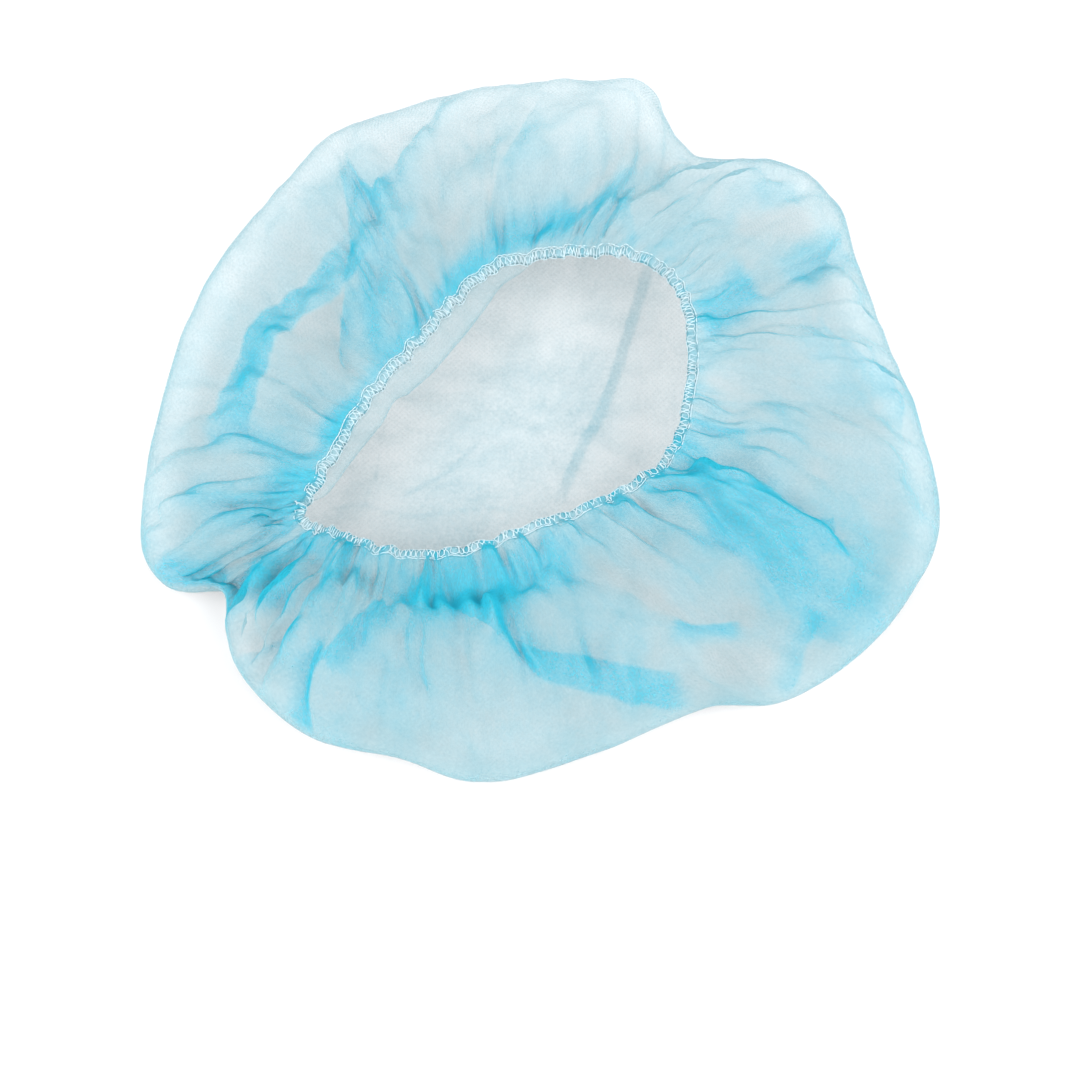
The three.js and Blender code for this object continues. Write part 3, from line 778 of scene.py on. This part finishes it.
def gridPiece(name, grid, flat=None, values=None, closeRows=False):
    # a grid sewn up along its first column, and along its rows if it is a tube
    rowCount, columnCount = grid.shape[:2]
    rowSteps = rowCount if closeRows else rowCount - 1
    bm = bmesh.new()
    bmesh.ops.create_grid(bm, x_segments=columnCount, y_segments=rowSteps, size=0.5, calc_uvs=True)
    uv = bm.loops.layers.uv.verify()
    kinds = {2: bm.verts.layers.float, 3: bm.verts.layers.float_vector}
    layers = {kinds[value.ndim].new(key): value for key, value in (values or {}).items()}
    bm.verts.ensure_lookup_table()
    for vert in bm.verts:
        column = round((vert.co.x + 0.5) * columnCount)
        row = round((vert.co.y + 0.5) * rowSteps)
        vert.index = row * (columnCount + 1) + column
        vert.co = grid[row % rowCount, column % columnCount]
        for layer, value in layers.items():
            vert[layer] = value[row % rowCount, column % columnCount]
    for face in bm.faces:
        for loop in face.loops:
            row, column = divmod(loop.vert.index, columnCount + 1)
            if flat is not None:
                loop[uv].uv = flat[row % rowCount, column % columnCount]
            else:
                loop[uv].uv = (column / columnCount, row / rowSteps)
    return sewnPiece(bm, name)


def makeCapFabric():
    grid, flat, values = fabricGrid()
    piece = gridPiece("capFabric", grid, flat, values)
    wall = piece.modifiers.new("wall", "SOLIDIFY")
    wall.thickness = capForm["fabricThick"]
    wall.offset = 0
    wall.use_rim = True
    wall.material_offset = 1
    wall.material_offset_rim = 1
    print("fabric made:", len(piece.data.polygons), "faces")
    return piece


capFabric = makeCapFabric()

# The elastic inside the hem, a flat knitted band.
elasticForm = {"columns": 480, "sides": 12, "squareness": 0.55, "ribs": 170, "ribHeight": 0.0001}


def makeElastic():
    form = elasticForm
    shares = evenShares(form["columns"])
    out = outwardAt(shares)
    loop = elasticAt(shares) + cadShift()
    ribs = np.cos(2 * math.pi * form["ribs"] * np.arange(form["columns"]) / form["columns"])[:, None]
    rows = []
    for side in range(form["sides"]):
        angle = 2 * math.pi * side / form["sides"]
        wide = np.sign(math.cos(angle)) * abs(math.cos(angle)) ** form["squareness"]
        tall = np.sign(math.sin(angle)) * abs(math.sin(angle)) ** form["squareness"]
        rib = ribs * form["ribHeight"]
        rows.append(loop + out * wide * (capForm["elasticWidth"] / 2 - form["ribHeight"] + rib)
                    + upward * tall * (capForm["elasticThick"] / 2 - form["ribHeight"] + rib))
    return gridPiece("elasticLoop", np.array(rows), closeRows=True)


elasticLoop = makeElastic()
print("elastic made")

# White overlock thread: an upper and a lower looper thread and the needle thread that catches them.
threadForm = {
    "stitches": 236,
    "pointsPerStitch": 10,
    "radius": 0.00017,
    "proud": 0.00022,
    "waver": 0.00030,  # how far the stitches stand out or sink into the gathers
    "needleAngle": 58.0,  # where round the hem the needle goes in, degrees from outwards
    "edgeAngle": 185.0,
    "underAngle": 300.0,
    "swingVaries": 0.22,  # how much a stitch reaches past or falls short of those angles
    "angleVaries": 14,  # degrees that a whole stitch is out of place
    "slant": 0.3,  # of the loops along the hem, in stitches
    "slantVaries": 0.35,
    "needleDip": 0.0007,  # how high the needle thread stands between two holes
    "needleOutwards": 0.0006,
}


def threadCurve(name, points):
    data = bpy.data.curves.new(name, "CURVE")
    data.dimensions = "3D"
    data.bevel_depth = threadForm["radius"]
    data.bevel_resolution = 0
    spline = data.splines.new("POLY")
    spline.points.add(len(points) - 1)
    for spot, point in zip(spline.points, points):
        spot.co = (*point, 1)
    spline.use_cyclic_u = True
    return bpy.data.objects.new(name, data)


def makeThread():
    form = threadForm
    count = form["stitches"] * form["pointsPerStitch"]
    turn = np.arange(count) / form["pointsPerStitch"]
    shares = np.interp(np.arange(count) / count, np.arange(4001) / 4000, np.append(evenShares(4000), 1.0))
    random = np.random.default_rng(5)
    jitter = np.repeat(random.uniform(-1, 1, form["stitches"]), form["pointsPerStitch"])
    jitter = np.convolve(np.tile(jitter, 3), np.ones(5) / 5, "same")[count:2 * count]
    swing = 0.5 - 0.5 * np.cos(2 * math.pi * turn)
    threads = []
    for name, first, last in (("upperLooper", form["needleAngle"], form["edgeAngle"]),
                              ("lowerLooper", form["underAngle"], form["edgeAngle"])):
        turned = (last - first) * (1 + form["swingVaries"] * jitter) * swing
        angle = np.radians(first + turned + form["angleVaries"] * jitter)
        lag = form["slant"] * np.sin(4 * math.pi * turn) + form["slantVaries"] * jitter
        lag = lag / form["stitches"]
        out = outwardAt(shares)
        reach = form["proud"] + form["waver"] * jitter
        across = out * ((hemHalfWidth + reach) * np.cos(angle))[:, None]
        rise = upward * ((hemHalfHeight + reach) * np.sin(angle))[:, None]
        threads.append(threadCurve(name, elasticAt(shares + lag) + across + rise + cadShift()))
    angle = math.radians(form["needleAngle"])
    dip = form["needleDip"] * np.abs(np.sin(math.pi * turn)) ** 0.6
    outwards = hemHalfWidth * math.cos(angle) + form["needleOutwards"]
    line = elasticAt(shares) + outwardAt(shares) * outwards
    line = line + upward * (hemHalfHeight * math.sin(angle) + dip)[:, None]
    threads.append(threadCurve("needleThread", line + cadShift()))

    bm = bmesh.new()
    for thread in threads:
        mesh = bpy.data.meshes.new_from_object(thread)
        bm.from_mesh(mesh)
        bpy.data.meshes.remove(mesh)
        bpy.data.objects.remove(thread)
    piece = sewnPiece(bm, "overlockThread")
    print("thread made:", len(piece.data.polygons), "faces")
    return piece


overlockThread = makeThread()

# Finishes.
finish = {
    "singleAlpha": 0.105,  # of one face of one layer; a layer has two faces
    "steepest": 0.3,  # cosine past which a slant adds no more to the fabric's depth
    "thinColour": (0.34, 0.645, 0.725, 1.0),
    "denseColour": (0.035, 0.53, 0.70, 1.0),
    "densestAt": 3.8,  # layers
    "webShare": 1.7,  # of the layers, how much follows the uneven web
    "evenShare": 0.05,
    "dotShare": 0.45,  # what the welded dots add
    "dotPitch": 0.0021,
    "fibrePitch": 0.0016,
    "smoothest": 0.5,  # roughness where the web is thin, and where it is dense
    "roughest": 0.75,
    "backShare": 0.95,  # of the layers, what the wall's inner face covers
    "threadColour": (0.74, 0.89, 0.94, 1.0),
    "threadShade": 0.86,  # colour of the hollows between its fibres, as a share
    "threadGrain": 1800.0,
    "elasticColour": (0.66, 0.86, 0.93, 1.0),
    "elasticShade": 0.8,
    "elasticRibs": 60.0,
}


def addNode(tree, kind, **settings):
    node = tree.nodes.new(kind)
    for key, value in settings.items():
        setattr(node, key, value)
    return node


def mathNode(tree, operation, first, second=None):
    node = addNode(tree, "ShaderNodeMath", operation=operation)
    for socket, value in zip(node.inputs, (first, second)):
        if value is None:
            continue
        if isinstance(value, (int, float)):
            socket.default_value = value
        else:
            tree.links.new(value, socket)
    return node.outputs[0]


def fibreWebGroup():
    # spunbond: a web of fine fibres, welded in rows of small dots
    tree = bpy.data.node_groups.new("fibreWeb", "ShaderNodeTree")
    tree.interface.new_socket("Vector", in_out="INPUT", socket_type="NodeSocketVector")
    for name in ("Dot Pitch", "Fibre Pitch"):
        tree.interface.new_socket(name, in_out="INPUT", socket_type="NodeSocketFloat")
    for name in ("Web", "Dots"):
        tree.interface.new_socket(name, in_out="OUTPUT", socket_type="NodeSocketFloat")
    source = addNode(tree, "NodeGroupInput")
    result = addNode(tree, "NodeGroupOutput")
    noise = addNode(tree, "ShaderNodeTexNoise", noise_dimensions="2D")
    noise.inputs["Detail"].default_value = 1.5
    noise.inputs["Roughness"].default_value = 0.7
    tree.links.new(source.outputs["Vector"], noise.inputs["Vector"])
    tree.links.new(mathNode(tree, "DIVIDE", 1.0, source.outputs["Fibre Pitch"]), noise.inputs["Scale"])
    split = addNode(tree, "ShaderNodeSeparateXYZ")
    tree.links.new(source.outputs["Vector"], split.inputs[0])
    turns = mathNode(tree, "DIVIDE", math.pi, source.outputs["Dot Pitch"])
    sums = mathNode(tree, "ADD", split.outputs["X"], split.outputs["Y"])
    differences = mathNode(tree, "SUBTRACT", split.outputs["X"], split.outputs["Y"])
    first = mathNode(tree, "COSINE", mathNode(tree, "MULTIPLY", sums, turns))
    second = mathNode(tree, "COSINE", mathNode(tree, "MULTIPLY", differences, turns))
    both = mathNode(tree, "MULTIPLY", first, second)
    tree.links.new(noise.outputs["Fac"], result.inputs["Web"])
    tree.links.new(mathNode(tree, "MULTIPLY", both, both), result.inputs["Dots"])
    return tree


fibreWeb = fibreWebGroup()


def newMaterial(name):
    material = bpy.data.materials.new(name)
    material.use_nodes = True
    tree = material.node_tree
    return material, tree, tree.nodes["Principled BSDF"]


def placeWeb(tree, coordinates):
    web = addNode(tree, "ShaderNodeGroup")
    web.node_tree = fibreWeb
    tree.links.new(coordinates, web.inputs["Vector"])
    web.inputs["Dot Pitch"].default_value = finish["dotPitch"]
    web.inputs["Fibre Pitch"].default_value = finish["fibrePitch"]
    return web


def addBump(tree, shader, height, strength, distance):
    bump = addNode(tree, "ShaderNodeBump")
    bump.inputs["Strength"].default_value = strength
    bump.inputs["Distance"].default_value = distance
    tree.links.new(height, bump.inputs["Height"])
    tree.links.new(bump.outputs["Normal"], shader.inputs["Normal"])


def shadeColour(tree, shader, pattern, colour, share):
    # the colour where the pattern is 0, and that share of it where it is 1
    mix = addNode(tree, "ShaderNodeMix", data_type="RGBA")
    mix.inputs["A"].default_value = colour
    mix.inputs["B"].default_value = tuple(share * c for c in colour[:3]) + (1.0,)
    tree.links.new(pattern, mix.inputs["Factor"])
    tree.links.new(mix.outputs["Result"], shader.inputs["Base Color"])


def fabricCoverGroup():
    # how much the layers of fabric hide, more where they are seen on the slant, and their colour
    tree = bpy.data.node_groups.new("fabricCover", "ShaderNodeTree")
    for name in ("Share", "Dots", "Facing"):
        tree.interface.new_socket(name, in_out="INPUT", socket_type="NodeSocketFloat")
    tree.interface.new_socket("Alpha", in_out="OUTPUT", socket_type="NodeSocketFloat")
    tree.interface.new_socket("Colour", in_out="OUTPUT", socket_type="NodeSocketColor")
    source = addNode(tree, "NodeGroupInput")
    result = addNode(tree, "NodeGroupOutput")

    # the fabric's own layers, and those of the folds where the point lies inside their crisp edges
    own = addNode(tree, "ShaderNodeAttribute", attribute_name="fabricLayers")
    edges = addNode(tree, "ShaderNodeAttribute", attribute_name="foldEdges").outputs["Vector"]
    folded = addNode(tree, "ShaderNodeAttribute", attribute_name="foldLayers")
    for operation, limit in (("MAXIMUM", 0.0), ("MINIMUM", 1.0)):
        clamp = addNode(tree, "ShaderNodeVectorMath", operation=operation)
        clamp.inputs[1].default_value = (limit, limit, limit)
        tree.links.new(edges, clamp.inputs[0])
        edges = clamp.outputs["Vector"]
    product = addNode(tree, "ShaderNodeVectorMath", operation="DOT_PRODUCT")
    tree.links.new(edges, product.inputs[0])
    tree.links.new(folded.outputs["Vector"], product.inputs[1])
    layers = mathNode(tree, "ADD", own.outputs["Fac"], product.outputs["Value"])

    shown = mathNode(tree, "MULTIPLY", layers, source.outputs["Share"])
    cover = mathNode(tree, "ADD", shown, mathNode(tree, "DIVIDE", source.outputs["Dots"], layers))
    facing = mathNode(tree, "MAXIMUM", source.outputs["Facing"], finish["steepest"])
    clear = mathNode(tree, "POWER", 1 - finish["singleAlpha"], mathNode(tree, "DIVIDE", cover, facing))
    tree.links.new(mathNode(tree, "SUBTRACT", 1.0, clear), result.inputs["Alpha"])
    dense = addNode(tree, "ShaderNodeMapRange")
    dense.inputs["From Min"].default_value = 1.0
    dense.inputs["From Max"].default_value = finish["densestAt"]
    tree.links.new(layers, dense.inputs["Value"])
    mix = addNode(tree, "ShaderNodeMix", data_type="RGBA")
    mix.inputs["A"].default_value = finish["thinColour"]
    mix.inputs["B"].default_value = finish["denseColour"]
    tree.links.new(dense.outputs["Result"], mix.inputs["Factor"])
    tree.links.new(mix.outputs["Result"], result.inputs["Colour"])
    return tree


fabricCover = fabricCoverGroup()


def coveredMaterial(name):
    # a material whose colour and alpha come from the fabric's layers
    material, tree, shader = newMaterial(name)
    cover = addNode(tree, "ShaderNodeGroup")
    cover.node_tree = fabricCover
    slant = addNode(tree, "ShaderNodeLayerWeight")
    tree.links.new(mathNode(tree, "SUBTRACT", 1.0, slant.outputs["Facing"]), cover.inputs["Facing"])
    tree.links.new(cover.outputs["Alpha"], shader.inputs["Alpha"])
    tree.links.new(cover.outputs["Colour"], shader.inputs["Base Color"])
    shader.inputs["Specular IOR Level"].default_value = 0.0
    return material, tree, shader, cover


def fabricMaterial():
    material, tree, shader, cover = coveredMaterial("blueSpunbond")
    uv = addNode(tree, "ShaderNodeUVMap")
    web = placeWeb(tree, uv.outputs["UV"])
    uneven = mathNode(tree, "MULTIPLY", web.outputs["Web"], finish["webShare"])
    tree.links.new(mathNode(tree, "ADD", uneven, finish["evenShare"]), cover.inputs["Share"])
    dots = mathNode(tree, "MULTIPLY", web.outputs["Dots"], finish["dotShare"])
    tree.links.new(dots, cover.inputs["Dots"])
    rough = addNode(tree, "ShaderNodeMapRange")
    rough.inputs["To Min"].default_value = finish["smoothest"]
    rough.inputs["To Max"].default_value = finish["roughest"]
    tree.links.new(web.outputs["Web"], rough.inputs["Value"])
    tree.links.new(rough.outputs["Result"], shader.inputs["Roughness"])
    return material


def fabricBackMaterial():
    # the wall's inner face, without the fine web, which the outer one shows
    material, tree, shader, cover = coveredMaterial("blueSpunbondBack")
    cover.inputs["Share"].default_value = finish["backShare"]
    shader.inputs["Roughness"].default_value = 0.62
    return material


def threadMaterial():
    material, tree, shader = newMaterial("whiteThread")
    place = addNode(tree, "ShaderNodeTexCoord")
    noise = addNode(tree, "ShaderNodeTexNoise")
    noise.inputs["Scale"].default_value = finish["threadGrain"]
    tree.links.new(place.outputs["Object"], noise.inputs["Vector"])
    shadeColour(tree, shader, noise.outputs["Fac"], finish["threadColour"], finish["threadShade"])
    shader.inputs["Roughness"].default_value = 0.7
    shader.inputs["Sheen Weight"].default_value = 0.2
    addBump(tree, shader, noise.outputs["Fac"], 0.4, 0.0001)
    return material


def elasticMaterial():
    material, tree, shader = newMaterial("knittedElastic")
    uv = addNode(tree, "ShaderNodeUVMap")
    wave = addNode(tree, "ShaderNodeTexWave", bands_direction="X")
    wave.inputs["Scale"].default_value = finish["elasticRibs"]
    wave.inputs["Distortion"].default_value = 0.8
    tree.links.new(uv.outputs["UV"], wave.inputs["Vector"])
    shadeColour(tree, shader, wave.outputs["Fac"], finish["elasticColour"], finish["elasticShade"])
    shader.inputs["Roughness"].default_value = 0.7
    addBump(tree, shader, wave.outputs["Fac"], 0.4, 0.0003)
    return material


capFabric.data.materials.append(fabricMaterial())
capFabric.data.materials.append(fabricBackMaterial())
overlockThread.data.materials.append(threadMaterial())
elasticLoop.data.materials.append(elasticMaterial())
print("finishes made")


def makeFloor():
    bm = bmesh.new()
    bmesh.ops.create_grid(bm, x_segments=1, y_segments=1, size=studio["floorSide"] / 2)
    mesh = bpy.data.meshes.new("studioFloor")
    bm.to_mesh(mesh)
    bm.free()
    floor = bpy.data.objects.new("studioFloor", mesh)
    scene.collection.objects.link(floor)
    material, tree, shader = newMaterial("paleFloor")
    shader.inputs["Base Color"].default_value = studio["floorColour"]
    shader.inputs["Roughness"].default_value = 0.9
    shader.inputs["Specular IOR Level"].default_value = 0.1
    shader.inputs["Emission Color"].default_value = (1.0, 1.0, 1.0, 1.0)
    shader.inputs["Emission Strength"].default_value = studio["floorGlow"]
    material.cycles.emission_sampling = "NONE"  # so wide a floor is found by any ray
    mesh.materials.append(material)


makeFloor()

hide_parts("cap_fabric")
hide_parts("elastic_band")
slots = ((capFabric, "nonwoven_fabric"), (elasticLoop, "elastic"), (overlockThread, "elastic"))
for piece, slotName in slots:
    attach(piece, "root")
